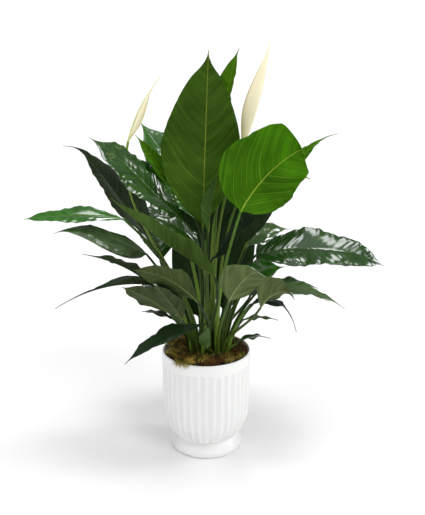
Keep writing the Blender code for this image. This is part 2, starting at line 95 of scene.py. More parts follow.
# Waves on a blade: the lengths of the margin's ripples, and the runs of slower waves, each a
# sine of the place over its run and so 2 pi runs long
RIPPLE_LENGTHS = (23 * MM, 14 * MM)
DEPTH_RUN = 27 * MM
ROLL_RUNS = (16 * MM, 11 * MM)
TONE_RUN = 31 * MM

# The studio and the camera, whose focal length is in pixels of the photograph
FLOOR_REACH = 40
DOME_RADIUS = 30
SENSOR_SIZE = 36
FOCAL_PIXELS = 800
PHOTO_HEIGHT = 515

# Leaf colours, mostly by age: upper side, under side and rib, as the eye sees them in white light. Lime
# is painted brighter, painted light for light shining through the blade, and dark is painted darker,
# painted shade for leaves lying in shadow
TONES = {
    "young": ("#426f06", "#3a6a06", "#8ea636"),
    "lime": ("#3c7c10", "#336404", "#8ea636"),
    "glossy": ("#2a5014", "#3b5220", "#6f883c"),
    "bright": ("#2f6a12", "#3b6014", "#7c9638"),
    "silver": ("#47653a", "#55623f", "#8c9868"),
    "fresh": ("#2a5c14", "#375414", "#7f8e34"),
    "olive": ("#36541a", "#3a5524", "#6c7836"),
    "mature": ("#1f400f", "#2f3d20", "#56663a"),
    "deep": ("#17300e", "#2f3d20", "#44522f"),
    "dark": ("#132a10", "#212d16", "#3a462a"),
    "grey": ("#2c4625", "#424e2f", "#69763f"),
}
# How far a broad blade swells between its side veins, in millimetres, where it isn't 1.05
QUILTS = {"young": 0.6, "lime": 0.6, "fresh": 0.6, "bright": 0.75, "glossy": 0.5}
WAXY_TONES = ("mature", "bright", "fresh", "silver", "glossy")
TENDER_TONES = ("young", "lime")


def leaf(knee, tip, width, face, arch=16, fold=20, curl=-30, roll=0, wave=2.5, waves=2.5,
         drip=0.10, nod=0, nod_from=0.55, peak=0.47, uneven=0, sway=0, blunt=0, straight=0.4,
         taper=1.9, tone="mature"):
    """One leaf, with the same meaning as on the CAD part: knee, tip and width in millimetres,
    face the way its upper side looks at the knee, and the angles in degrees."""
    return dict(
        knee=np.array(knee) * MM, tip=np.array(tip) * MM, width=width * MM,
        face=np.array(face, dtype=float), arch=arch * MM, fold=math.radians(fold),
        curl=math.radians(curl), roll=math.radians(roll), wave=wave * MM, waves=waves,
        drip=drip, nod=math.radians(nod), nod_from=nod_from, peak=peak, uneven=uneven,
        sway=sway * MM, blunt=blunt, straight=straight, taper=taper, tone=tone,
    )


LEAVES = [
    # 1 to 4: the tall ones in the middle of the front
    leaf((-6, -25, 437), (5, -32, 738), 138, (0.05, 1, 0.1), arch=-6, fold=12, curl=-14, roll=14,
         uneven=0.08, drip=0.08, blunt=0.06, tone="fresh"),
    leaf((58, -95, 482), (168, -78, 590), 136, (0, 1, 0.25), arch=8, sway=10, fold=8, curl=-12, wave=6,
         nod=100, nod_from=0.84, drip=0.08, peak=0.43, uneven=0.14, blunt=0.5, tone="lime"),
    leaf((20, 35, 510), (57, 35, 738), 62, (-0.6, -0.8, 0), fold=30, curl=10, drip=0.06, tone="young"),
    leaf((4, -62, 438), (19, -66, 541), 42, (-1, 0.3, 0), arch=0, fold=60, curl=-15, drip=0.05,
         tone="olive"),
    # 5 to 18: the left side, from the top down to the pot
    leaf((-32, 4, 432), (-190, -8, 602), 84, (0.62, -0.45, 0.55), arch=-4, nod=20, wave=5, drip=0.13,
         peak=0.6, blunt=0.4, tone="glossy"),
    leaf((-7, 86, 408), (-124, 104, 605), 112, (0.3, -0.75, 0.55), fold=24, curl=-20, peak=0.55,
         tone="bright"),
    leaf((-62, 46, 488), (-126, 50, 587), 32, (0.2, -0.9, 0.3), fold=45, curl=-20, tone="young"),
    leaf((-102, 62, 385), (-248, 88, 584), 116, (0.5, 0.7, 0.6), arch=0, nod=55, nod_from=0.75, drip=0.2,
         uneven=-0.15, tone="dark"),
    leaf((14, -82, 366), (-152, -120, 511), 74, (0.6, 0.4, 0.7), arch=-6, fold=46, curl=-10, peak=0.42,
         blunt=0.2, tone="olive"),
    leaf((-141, -45, 456), (-309, -60, 460), 50, (0, -0.3, 0.95), arch=8, wave=2.2, waves=2, drip=0.06,
         blunt=0.2, tone="bright"),
    leaf((-105, -20, 385), (-262, -56, 456), 62, (0.2, -0.4, 0.9), arch=10, fold=15, curl=-70, nod=40,
         drip=0.16, peak=0.38, blunt=0.2, tone="silver"),
    leaf((-13, -118, 332), (-117, -138, 395), 70, (0.3, 0.9, 0.5), arch=14, drip=0.03, tone="grey"),
    leaf((-97, -50, 340), (-213, -62, 399), 58, (0.3, 0.5, 0.8), arch=8, fold=30, drip=0.14, tone="dark"),
    leaf((-93, -76, 349), (-251, -130, 324), 28, (0, 0, 1), fold=50, curl=-6, drip=0.4, peak=0.35,
         tone="dark"),
    leaf((-63, -60, 288), (-143, -90, 348), 78, (0.3, 0.8, 0.5), arch=6, fold=25, blunt=0.1, tone="grey"),
    leaf((-41, -86, 287), (-90, -108, 362), 56, (0.3, 0.7, 0.6), arch=4, tone="grey"),
    leaf((-4, -92, 280), (-136, -148, 231), 42, (0, -0.2, 1), arch=18, curl=-40, tone="dark"),
    leaf((-3, -62, 226), (6, -98, 278), 26, (0, -0.6, 0.5), arch=4, fold=35, drip=0.05, tone="olive"),
    # 19 to 35: the right side, from the middle outwards, and the gaps of the middle
    leaf((39, -112, 331), (98, -112, 395), 92, (-0.25, 0.8, 0.5), arch=10, fold=16, nod=55, drip=0.05,
         uneven=0.14, blunt=0.3, tone="silver"),
    leaf((74, -30, 352), (140, -32, 366), 44, (0, -0.85, 0.5), arch=8, drip=0.2, tone="bright"),
    leaf((95, -72, 303), (159, -78, 330), 92, (-0.3, 0.75, 0.55), arch=18, fold=34, nod=30, drip=0.08,
         tone="silver"),
    leaf((81, 4, 281), (163, -40, 245), 66, (0.1, 0.2, 1), arch=30, curl=-50, drip=0.4, tone="dark"),
    leaf((87, -60, 397), (306, -95, 394), 80, (0, -0.59, 0.81), arch=27, fold=18, curl=-24, wave=4,
         nod=12, drip=0.06, peak=0.4, blunt=0.2),
    leaf((72, -18, 398), (148, 0, 426), 54, (0, -0.3, 1), tone="silver"),
    leaf((12, -40, 385), (127, -60, 513), 84, (-0.6, -0.1, 0.8), arch=-26, fold=58, curl=-10,
         tone="dark"),
    leaf((62, 110, 527), (148, 128, 466), 74, (0.2, -0.2, 1), tone="young"),
    leaf((70, 30, 500), (188, 35, 510), 60, (0, -0.5, 0.85), arch=22, peak=0.6, tone="young"),
    leaf((104, 68, 453), (231, 68, 599), 42, (-0.6, -0.3, 0.7), arch=8, nod=30, nod_from=0.7, drip=0.14,
         tone="young"),
    leaf((-5, 0, 397), (-47, 0, 512), 60, (0.7, 0.5, 0.4), arch=4, fold=40),
    leaf((-10, -30, 398), (-98, -28, 458), 48, (0.2, -0.4, 0.9), arch=12, fold=25),
    leaf((69, 25, 243), (136, 32, 239), 15, (0, -0.2, 1), arch=6, drip=0.2, tone="olive"),
    leaf((57, -15, 213), (118, -22, 225), 28, (0, 0, 1), arch=8, drip=0.25),
    leaf((103, 42, 300), (211, 46, 298), 34, (0, -0.3, 1), arch=12, tone="grey"),
    leaf((113, 12, 306), (255, -2, 275), 52, (0, -0.1, 1), arch=18, drip=0.2, tone="silver"),
    leaf((-56, -30, 264), (-115, -42, 285), 20, (0.2, -0.2, 1), arch=6, tone="dark"),
    # 36 to 44: the back, from the top down, and behind both sides
    leaf((32, 98, 232), (95, 146, 510), 80, (-0.2, -0.9, 0.2), arch=10, peak=0.36, tone="deep"),
    leaf((-14, 72, 228), (-56, 138, 500), 84, (0.2, -0.9, 0.2), arch=10, peak=0.33, tone="deep"),
    leaf((7, 116, 240), (16, 188, 620), 104, (0, -0.9, 0.3), arch=12, peak=0.36, tone="deep"),
    leaf((96, 85, 330), (195, 160, 362), 80, (-0.4, -0.4, 0.8), arch=14),
    leaf((-90, 112, 330), (-118, 235, 420), 80, (0.2, -0.4, 0.8), arch=14),
    leaf((26, 130, 260), (15, 285, 335), 92, (0, -0.6, 0.8), arch=26),
    leaf((84, 100, 260), (145, 230, 250), 74, (-0.2, -0.4, 0.9), arch=20),
    leaf((-78, 96, 245), (-120, 230, 232), 76, (0.2, -0.4, 0.9), arch=20),
    leaf((105, 60, 346), (290, 120, 362), 76, (-0.2, -0.1, 1)),
]

# Blooms: base and tip of each spathe, in millimetres
BLOOMS = [
    leaf((62, 10, 567), (108, 10, 752), 60, (-0.9, -0.1, 0.3), arch=-8, fold=12, curl=135,
         wave=0, drip=0.12, straight=1, taper=1.1),
    leaf((-138, 34, 577), (-78, 34, 691), 30, (0.8, -0.3, -0.4), arch=-8, fold=15, curl=110,
         wave=0, drip=0.25, straight=1, taper=1.3),
]

# Radius and height in millimetres: under the foot, up the outside and down the inside
POT_PROFILE = [
    (0, 0), (64.6, 0), (67.3, 4), (66.6, 10), (62.5, 14), (57.5, 18.5),
    (53.5, 25.5), (63, 31.5), (71.8, 43), (77.8, 58), (81.2, 76), (82.4, 98),
    (82.5, 168), (82.6, 175.5), (82.6, 194.6), (80.2, 197), (78.6, 194.5),
    (77.8, 175), (77.4, 95), (76, 72), (72, 52), (64, 40), (48, 33),
    (0, 32),
]

# Each light's name, the way towards it, its width in degrees and its power
SOFT_BOXES = [
    ("back_softbox", (0.05, 0.85, 0.6), 12, 0.42),
    ("top_softbox", (0.13, 0.05, 1.0), 28, 1.2),
    ("right_softbox", (0.9, 0.1, 0.5), 18, 0.8),
    ("left_softbox", (-0.53, -0.17, 0.83), 11, 0.32),
    ("left_strip", (-0.95, 0.1, 0.3), 20, 0.3),
    ("front_softbox", (0.6, -0.65, 0.75), 30, 0.78),
    ("front_fill", (-0.15, -0.75, 0.85), 90, 0.76),
]


def linear(hex_colour):
    """An sRGB hex colour as linear light."""
    values = np.array([int(hex_colour[i:i + 2], 16) for i in (1, 3, 5)]) / 255
    return np.where(values <= 0.04045, values / 12.92, ((values + 0.055) / 1.055) ** 2.4)


# Dried moss, from straw through olive to the darkest brown
MOSS_TONES = np.array([
    linear(value) for value in ("#bba24a", "#98841e", "#6c6a18", "#935f28", "#7c4519", "#3f2810")
])


def unit(vectors):
    """Vectors over their own lengths."""
    return vectors / np.maximum(np.linalg.norm(vectors, axis=-1, keepdims=True), 1e-12)


def smooth(share):
    """An even S from 0 to 1: three squares less two cubes of the share."""
    share = np.clip(share, 0, 1)
    return share * share * (3 - 2 * share)


def carried(along, first):
    """Normals carried along a line without twisting, starting from the first one."""
    normals = [unit(first - (first @ along[0]) * along[0])]
    for direction in along[1:]:
        last = normals[-1]
        normals.append(unit(last - (last @ direction) * direction))
    return np.array(normals)


def rib_of(row):
    """The rib from knee to tip: a quadratic curve, drawn off its chord by the arch and the sway,
    whose steps the nod turns down along an even S. Its points, directions and upper side."""
    share = np.linspace(0, 1, RIB_SAMPLES)[:, None]
    chord = unit(row["tip"] - row["knee"])
    rise = unit(row["face"] - (row["face"] @ chord) * chord)
    side = np.cross(chord, rise)
    halfway = (row["knee"] + row["tip"]) / 2
    pull = halfway + 2 * (row["arch"] * rise + row["sway"] * side)
    line = (1 - share) ** 2 * row["knee"] + 2 * share * (1 - share) * pull + share ** 2 * row["tip"]
    steps = np.diff(line, axis=0)
    angle = -row["nod"] * smooth((share[1:] - row["nod_from"]) / (1 - row["nod_from"]))
    steps = steps * np.cos(angle) + np.cross(side, steps) * np.sin(angle)
    line = row["knee"] + np.concatenate([np.zeros((1, 3)), np.cumsum(steps, axis=0)])
    along = unit(np.gradient(line, axis=0))
    normals = carried(along, row["face"])
    normals = normals * math.cos(row["roll"]) + np.cross(along, normals) * math.sin(row["roll"])
    return line, along, normals


def stalk_line(row, foot, rib, bow):
    """The middle of a stalk: a cubic curve that leaves the soil upright."""
    share = np.linspace(0, 1, STALK_SAMPLES)[:, None]
    start = np.array([*foot, SOIL_TOP + 1 * MM])
    reach = row["knee"] - start
    length = np.linalg.norm(reach)
    leaving = start + UP * 0.34 * length + bow * (0.7, 0.7, 0.2)
    arriving = unit((1 - row["straight"]) * unit(reach) + row["straight"] * rib[1][0])
    nearing = row["knee"] - arriving * 0.34 * length + bow
    return (
        (1 - share) ** 3 * start + 3 * share * (1 - share) ** 2 * leaving
        + 3 * share ** 2 * (1 - share) * nearing + share ** 3 * row["knee"]
    )


def stalk_of(row, foot, rib, bow):
    """A stalk's points and directions, and the side of it that meets the blade's upper side,
    carried down from the knee without twisting."""
    line = stalk_line(row, foot, rib, bow)
    along = unit(np.gradient(line, axis=0))
    normals = carried(along[::-1], rib[2][0])[::-1]
    return line, along, normals


def bows_of(rows, feet, ribs):
    """How far each stalk bows, so that it passes the others with some room: where two lack
    the most room, both are pushed straight apart by a third of it, over and over."""
    bows = np.zeros((len(rows), 3))
    share = np.linspace(0, 1, STALK_SAMPLES)
    radius = np.interp(share, (*STALK_STATIONS, 1), (*STALK_RADII, KNEE_RADIUS))
    room = radius[:, None] + radius[None] + STALK_ROOM
    weight = 3 * share * (1 - share) + 0.08
    ones, others = np.triu_indices(len(rows), 1)
    pairs = np.arange(len(ones))
    for _ in range(80):
        lines = np.array([stalk_line(*item) for item in zip(rows, feet, ribs, bows)])
        between = lines[ones][:, :, None] - lines[others][:, None]
        distance = np.linalg.norm(between, axis=-1)
        short = (room - distance).reshape(len(ones), -1)
        place = short.argmax(axis=1)
        worst = short[pairs, place]
        near, far = np.unravel_index(place, room.shape)
        away = between[pairs, near, far] / np.maximum(distance[pairs, near, far], 1e-6)[:, None]
        push = away * np.clip(worst, 0, None)[:, None] * 0.35
        moves = np.zeros_like(bows)
        np.add.at(moves, ones, push / weight[near][:, None])
        np.add.at(moves, others, -push / weight[far][:, None])
        bows = bows + np.clip(moves, -4 * MM, 4 * MM)
        if not moves.any():
            break
    return bows


def spread_feet(starts):
    """Pushes the stalks' feet apart until each has its room, inside the clump's circle."""
    feet = starts.copy()
    for turn in range(900):
        between = feet[:, None] - feet[None]
        distance = np.linalg.norm(between, axis=2) + 1e-9
        short = np.clip(FOOT_ROOM * 1.02 - distance, 0, None)
        np.fill_diagonal(short, 0)
        feet = feet + (between / distance[..., None] * short[..., None]).sum(axis=1) * 0.3
        feet = feet + (starts - feet) * 0.02 * max(0, 1 - turn / 600)
        away = feet - CLUMP
        reach = np.linalg.norm(away, axis=1, keepdims=True)
        feet = CLUMP + away * np.minimum(1, CLUMP_RADIUS / np.maximum(reach, 1e-9))
    return feet


def feet_of(rows):
    """Upright leaves stand in the middle of the clump and leaning ones at its edge, each on
    the side that it leans to."""
    starts = []
    for row in rows:
        lean = row["knee"][:2] * 0.8 + row["tip"][:2] * 0.2 - CLUMP
        reach = np.linalg.norm(lean)
        height = row["knee"][2] - SOIL_TOP
        starts.append(CLUMP + lean / reach * CLUMP_RADIUS * min(1, 1.3 * reach / height))
    return spread_feet(np.array(starts))


def sampled(line, share):
    """A line's points, directions and normals at these shares of it, straight between samples."""
    steps = np.linspace(0, 1, len(line[0]))
    return [np.stack([np.interp(share, steps, values) for values in part.T], axis=-1) for part in line]


def outline(row, share):
    """The blade's width over its greatest: sin(pi s^k) to a power that falls along it, and
    from the drip tip's start on a hollow taper to nothing."""
    full = FULL_BLADE * (1 - row["drip"])
    taper = np.clip((1 - share) / (1 - full), 0, 1) ** row["taper"]
    share = np.minimum(full, share) / (1 - row["drip"])
    stretch = math.log(0.5) / math.log(row["peak"])
    return np.sin(math.pi * share ** stretch) ** (1.25 - 0.6 * share - row["blunt"]) * taper


def vein_phase(along, out, spacing, start):
    """Side veins leave the rib at about 58 degrees and arch towards the tip: each lies where
    (v - 0.62 x - 0.009 x squared) over the spacing is whole, in millimetres, and a slow sine
    makes the spacing uneven."""
    x = out / MM
    run = (along / MM - 0.62 * x - 0.009 * x * x) / spacing
    return run + 0.22 * np.sin(1.7 * run + start)


def blade_loop(columns):
    """Round a blade: across share q from +1 to -1 on the upper side and back underneath, as
    0.35 of a cosine and 0.65 of even steps, which makes the steps finer at the margins."""
    upper = np.cos(np.linspace(0, math.pi, columns)) * 0.35 + np.linspace(1, -1, columns) * 0.65
    under = upper[-2:0:-1]
    across = np.concatenate([upper, under])
    side = np.concatenate([np.ones(columns), -np.ones(columns - 2)])
    angle = np.where(side > 0, (1 - across) * math.pi / 2, math.pi + (1 + across) * math.pi / 2)
    return across, side, angle


def framed(line, shares):
    """A line's points at these shares of it, its sideways directions, which are along x normal,
    and its upper ones, which are square to both."""
    centre, along, normal = sampled(line, shares)
    along = unit(along)
    sideways = unit(np.cross(along, normal))
    return centre, sideways, np.cross(sideways, along)


def circles(angle, sideways, normal):
    """Unit circles across a line: cos a times its side and sin a times its normal."""
    angle = angle[:, None]
    return np.cos(angle) * sideways[:, None] + np.sin(angle) * normal[:, None]


def blade_points(row, rib, phase, shares, loop, thickness, quilt, spacing):
    """A blade as rings round its rib. Across it each half leaves the rib at the fold angle and
    bends by the curl, an arc; the margin waves with the square of the across share, and
    between its side veins the blade swells by a rounded sine, on slow swells of its own."""
    across, side, angle = loop
    centre, sideways, normal = framed(rib, shares)
    length = np.linalg.norm(np.diff(rib[0], axis=0), axis=1).sum()
    s = shares[:, None]
    q = across[None]
    away = np.abs(q)
    hand = np.where(q < 0, -1.0, 1.0)
    rib_radius = KNEE_RADIUS + (TIP_RADIUS - KNEE_RADIUS) * s ** 0.7
    half = np.hypot(row["width"] / 2 * outline(row, s) * (1 + hand * row["uneven"]), rib_radius)
    fold = row["fold"] * (1.25 - 0.5 * s)
    slope = fold + row["curl"] * away
    outward = hand * half * (np.sin(slope) - np.sin(fold)) / row["curl"]
    upward = half * (np.cos(fold) - np.cos(slope)) / row["curl"]
    out = away * half
    tilt = slope * np.clip(q * half / rib_radius, -1, 1)
    broad = np.minimum(1, half / WAVED_HALF_WIDTH)
    swell = np.sin(math.pi * np.minimum(1, s * 1.05))
    turn = 2 * math.pi * row["waves"] * s + phase + np.where(q < 0, 1.9, 0)
    lift = row["wave"] * broad * swell * q * q * np.sin(turn)
    vein = vein_phase(s * length, out, spacing, phase + hand)
    inside = smooth(out / RIB_STRIP) * smooth((1 - away) / 0.12) * smooth(s / 0.05)
    inside = inside * smooth((1 - s) / 0.12) * np.minimum(1, half / QUILTED_HALF_WIDTH)
    deep = 0.75 + 0.45 * np.sin(s * length / DEPTH_RUN + 3.1 * phase + 2 * hand)
    lift = lift + deep * quilt * (np.abs(np.sin(math.pi * vein)) - 0.6) * inside
    roll = np.sin(s * length / ROLL_RUNS[0] + 2.1 * phase + hand) * np.sin(out / ROLL_RUNS[1] + phase)
    lift = lift + 1.2 * quilt * roll * inside
    ripple = np.sin(2 * math.pi * s * length / RIPPLE_LENGTHS[0] + 2.3 * phase + hand)
    ripple = ripple + 0.6 * np.sin(2 * math.pi * s * length / RIPPLE_LENGTHS[1] + 4.1 * phase)
    lift = lift + 0.36 * row["wave"] * away ** 4 * ripple * broad * swell
    off = side[None] * thickness / 2 * np.sqrt(np.clip(1 - away ** 8, 0, 1))
    bulge = (rib_radius - thickness / 2) * np.exp(-(out / (1.1 * rib_radius)) ** 2)
    off = off - np.where(side[None] < 0, bulge, -0.15 * bulge)
    total = (lift + off)[..., None]
    points = (
        centre[:, None]
        + (outward[..., None] - total * np.sin(tilt)[..., None]) * sideways[:, None]
        + (upward[..., None] + total * np.cos(tilt)[..., None]) * normal[:, None]
    )
    tube = centre[:, None] + rib_radius[..., None] * circles(angle, sideways, normal)
    flat = smooth(s / 0.05)[..., None]
    return tube * (1 - flat) + points * flat, hand * out, s * length + 0 * out, vein


def tube_points(line, shares, radii, angle):
    """Rings along a line: its points plus the radii times the circles across it."""
    centre, sideways, normal = framed(line, shares)
    radii = np.broadcast_to(radii, (len(shares), len(angle)))[..., None]
    return centre[:, None] + circles(angle, sideways, normal) * radii


def wrapped_faces(rows, columns):
    """Quads between rings that close on themselves, with a face over each end."""
    row, column = np.meshgrid(np.arange(rows - 1), np.arange(columns), indexing="ij")
    here = row * columns + column
    there = row * columns + (column + 1) % columns
    quads = np.stack([here, there, there + columns, here + columns], axis=-1).reshape(-1, 4)
    caps = [list(range(columns))[::-1], list(range((rows - 1) * columns, rows * columns))]
    return quads, caps


def volume_of(points, quads):
    """Six times the volume inside the quads, as a sum of tetrahedra on the origin."""
    a, b, c, d = (points[quads[:, i]] for i in range(4))
    return np.einsum("ij,ij->", a, np.cross(b, c)) + np.einsum("ij,ij->", a, np.cross(c, d))


def add_piece(name, points, quads, caps, finishes, node, faces_of=None, fields=()):
    """A mesh from rings of points, turned to face outwards, riding on the plant and standing
    for a CAD node. faces_of gives each quad's finish, and fields are the points' own numbers
    or, where each has three, colours."""
    points = points.reshape(-1, 3)
    if volume_of(points, quads) < 0:
        quads = quads[:, ::-1]
        caps = [cap[::-1] for cap in caps]
    mesh = bpy.data.meshes.new(name)
    mesh.from_pydata(points.tolist(), [], quads.tolist() + caps)
    mesh.polygons.foreach_set("use_smooth", np.ones(len(mesh.polygons), dtype=bool))
    for finish in finishes:
        mesh.materials.append(finish)
    if faces_of is not None:
        chosen = np.concatenate([faces_of, np.full(len(caps), faces_of[-1])]).astype(np.int32)
        mesh.polygons.foreach_set("material_index", chosen)
    for field, values in dict(fields).items():
        kind, held = "FLOAT", "value"
        if values.ndim == 2:
            kind, held = "FLOAT_COLOR", "color"
            values = np.column_stack([values, np.ones(len(values))])
        attribute = mesh.attributes.new(field, kind, "POINT")
        attribute.data.foreach_set(held, values.ravel())
    mesh.update()
    piece = bpy.data.objects.new(name, mesh)
    bpy.context.scene.collection.objects.link(piece)
    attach(piece, "root")
    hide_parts(node)


def feed(node, inputs):
    """Sets a node's inputs: each is a value, a socket, or a node whose first output is linked."""
    for socket, value in inputs.items():
        if isinstance(value, bpy.types.Node):
            value = value.outputs[0]
        if isinstance(value, bpy.types.NodeSocket):
            node.id_data.links.new(value, node.inputs[socket])
        else:
            node.inputs[socket].default_value = value


def add(tree, kind, inputs=(), **settings):
    """Adds a shader node with its settings, and its inputs by name or in their own order."""
    node = tree.nodes.new("ShaderNode" + kind)
    for name, value in settings.items():
        setattr(node, name, value)
    feed(node, inputs if isinstance(inputs, dict) else dict(enumerate(inputs)))
    return node


def new_finish(name, **constants):
    """A material with its Principled shader, and the constants set on the shader's sockets."""
    made = bpy.data.materials.new(name)
    made.use_nodes = True
    shader = made.node_tree.nodes["Principled BSDF"]
    for socket, value in constants.items():
        shader.inputs[socket.replace("_", " ")].default_value = value
    return made, made.node_tree, shader


def colour(hex_colour):
    """An sRGB hex colour as a socket's four linear numbers."""
    return (*linear(hex_colour), 1)


def leaf_finish(name, roughness, gloss, rib_share, vein_share, raised):
    """Living leaf under a thin wax: the blade's own green, a paler rib that narrows towards the
    tip, arched side veins, finer veins at a third of their spacing, and the sheen of wax."""
    made, tree, shader = new_finish(name, IOR=1.5, Specular_IOR_Level=gloss)
    tint, pale = (add(tree, "Attribute", attribute_name=field) for field in ("tint", "pale"))
    vein, out, share = (
        add(tree, "Attribute", attribute_name=field).outputs["Fac"]
        for field in ("vein", "out", "share")
    )
    place = add(tree, "TexCoord").outputs["Object"]
    # Mottling about 30 mm across, as a leaf's green thins and thickens
    mottle = add(tree, "TexNoise", {"Vector": place, "Scale": 33, "Detail": 3})
    shade = add(tree, "MapRange", [mottle, 0.3, 0.7, 0.88, 1.12])
    # Painted shading: soft light and dark bands that run out with the side veins, painted light and shade
    # such as a quilted blade catches
    lane = add(tree, "Math", [vein, 1.1], operation="MULTIPLY")
    reach = add(tree, "Math", [out, 1 / SHADE_BAND_LENGTH], operation="MULTIPLY")
    spot = add(tree, "CombineXYZ", [lane, reach])
    vein_shade_band = add(tree, "TexNoise", {"Vector": spot, "Scale": 1.0, "Detail": 3})
    soft = add(tree, "MapRange", [vein_shade_band, 0.32, 0.68, 0.74, 1.26])
    both = add(tree, "Math", [shade, soft], operation="MULTIPLY")
    green = add(tree, "VectorMath", {0: tint, "Scale": both}, operation="SCALE")
    # The side veins fade towards the tip and where the painted shading bands are dark
    fade = add(tree, "MapRange", [share, 0.25, 0.85, 1.0, 0.3])
    clear = add(tree, "MapRange", [vein_shade_band, 0.35, 0.6, 0.35, 1.1])
    held = add(tree, "Math", [fade, clear], operation="MULTIPLY")
    masks = []
    for per_vein, wide in ((1.0, 0.06), (3.0, 0.20)):
        run = add(tree, "Math", [vein, per_vein], operation="MULTIPLY")
        near = add(tree, "Math", [run, 0.5], operation="PINGPONG")
        line = add(tree, "MapRange", [near, 0.0, wide, 1.0, 0.0], interpolation_type="SMOOTHSTEP")
        masks.append(add(tree, "Math", [line, held], operation="MULTIPLY"))
    side_veins, fine_veins = masks
    away = add(tree, "Math", [out], operation="ABSOLUTE")
    wide = add(tree, "MapRange", [share, 0.0, 1.0, *RIB_HALF_WIDTHS])
    near = add(tree, "Math", [away, wide], operation="DIVIDE")
    rib = add(tree, "MapRange", [near, 0.55, 1.1, 1.0, 0.0], interpolation_type="SMOOTHSTEP")
    shown = green
    for mask, amount in ((fine_veins, vein_share * 0.2), (side_veins, vein_share), (rib, rib_share)):
        part = add(tree, "Math", [mask, amount], operation="MULTIPLY")
        mixed = add(tree, "Mix", {"Factor": part, 6: shown, 7: pale}, data_type="RGBA")
        shown = mixed.outputs[2]
    # Wax lies unevenly, in patches of about 20 mm
    wax = add(tree, "TexNoise", {"Vector": place, "Scale": 45, "Detail": 2})
    dull = add(tree, "MapRange", [wax, 0.3, 0.7, roughness - 0.04, roughness + 0.04])
    # Skin grain of 0.7 mm, veins sunk above and raised below
    grain = add(tree, "TexNoise", {"Vector": place, "Scale": 1400, "Detail": 2})
    height = 0.0
    for mask, rise in ((side_veins, raised), (fine_veins, raised * 0.06), (grain, 0.01)):
        height = add(tree, "Math", [mask, rise, height], operation="MULTIPLY_ADD")
    bump = add(tree, "Bump", {"Height": height, "Distance": 0.3 * MM, "Strength": 1.0})
    feed(shader, {"Base Color": shown, "Roughness": dull, "Normal": bump})
    return made


def stalk_finish(name, roughness):
    """Leaf stalk: smooth pale green skin with fine fibres along it, about 1 mm apart."""
    made, tree, shader = new_finish(name, Roughness=roughness, IOR=1.42, Specular_IOR_Level=0.3)
    tint = add(tree, "Attribute", attribute_name="tint")
    place = add(tree, "TexCoord").outputs["Object"]
    stretch = add(tree, "Mapping", {"Vector": place, "Scale": (900, 900, 60)})
    fibre = add(tree, "TexNoise", {"Vector": stretch, "Scale": 1.0, "Detail": 3})
    shade = add(tree, "MapRange", [fibre, 0.3, 0.7, 0.72, 1.25])
    green = add(tree, "VectorMath", {0: tint, "Scale": shade}, operation="SCALE")
    bump = add(tree, "Bump", {"Height": fibre, "Distance": 0.3 * MM, "Strength": 0.6})
    feed(shader, {"Base Color": green, "Normal": bump})
    return made


def glaze_finish():
    """White satin glaze over earthenware: nearly even, with faint pooling about 45 mm across
    and an orange peel of about 4 mm."""
    made, tree, shader = new_finish("satin_white_glaze", IOR=1.5, Coat_Weight=0.3, Coat_Roughness=0.14)
    place = add(tree, "TexCoord").outputs["Object"]
    pool = add(tree, "TexNoise", {"Vector": place, "Scale": 22, "Detail": 4})
    whites = {"Factor": pool, 6: colour("#f1f2f1"), 7: colour("#f7f7f6")}
    tone = add(tree, "Mix", whites, data_type="RGBA")
    # Painted shade: the glaze is painted a little greyer in the flutes, as if shade lay in them
    groove = add(tree, "Attribute", attribute_name="groove").outputs["Fac"]
    painted_flute_shade = {"Factor": groove, 6: tone.outputs[2], 7: colour("#ebeceb")}
    deep = add(tree, "Mix", painted_flute_shade, data_type="RGBA")
    dull = add(tree, "MapRange", [pool, 0.3, 0.7, 0.36, 0.46])
    peel = add(tree, "TexNoise", {"Vector": place, "Scale": 260, "Detail": 2})
    bump = add(tree, "Bump", {"Height": peel, "Distance": 0.12 * MM, "Strength": 0.5})
    feed(shader, {"Base Color": deep.outputs[2], "Roughness": dull, "Normal": bump})
    return made


def spathe_finish():
    """Spathe: thin waxy tissue that light passes through, cream with faint slanting veins and
    a green flush where the tint says so, with a faint painted cream glow, painted light for the light
    shining through it."""
    made, tree, shader = new_finish(
        "spathe_tissue_painted_glow", Roughness=0.42, IOR=1.4, Subsurface_Weight=0.4, Subsurface_Scale=4 * MM,
        Subsurface_Radius=(1.0, 0.95, 0.8), Specular_IOR_Level=0.25,
        # Painted light: a faint cream glow, as if light shone through the spathe
        Emission_Color=colour("#fff0bc"), Emission_Strength=0.14,
    )
    tint = add(tree, "Attribute", attribute_name="tint")
    out, along = (
        add(tree, "Attribute", attribute_name=field).outputs["Fac"] for field in ("out", "along")
    )
    slant = add(tree, "Math", [along, -0.35, out], operation="MULTIPLY_ADD")
    run = add(tree, "Math", [slant, 1 / SPATHE_VEIN_SPACING], operation="MULTIPLY")
    near = add(tree, "Math", [run, 0.5], operation="PINGPONG")
    line = add(tree, "MapRange", [near, 0.0, 0.34, 0.5, 0.0])
    drawn = add(tree, "Mix", {"Factor": line, 6: tint, 7: colour("#dccf9c")}, data_type="RGBA")
    bump = add(tree, "Bump", {"Height": near, "Distance": 0.15 * MM, "Strength": 0.6})
    feed(shader, {"Base Color": drawn.outputs[2], "Normal": bump})
    return made


def nubbed_finish(name, roughness, nubs_per_metre, middle, edge, depth):
    """Matt rounded nubs or crumbs side by side, each with one colour in its middle and another
    at its edge, and sunk between them by the depth."""
    made, tree, shader = new_finish(name, Roughness=roughness)
    place = add(tree, "TexCoord").outputs["Object"]
    nubs = add(tree, "TexVoronoi", {"Vector": place, "Scale": nubs_per_metre})
    tones = {"Factor": nubs, 6: colour(middle), 7: colour(edge)}
    tone = add(tree, "Mix", tones, data_type="RGBA")
    bump = add(tree, "Bump", {"Height": nubs, "Distance": depth}, invert=True)
    feed(shader, {"Base Color": tone.outputs[2], "Normal": bump})
    return made


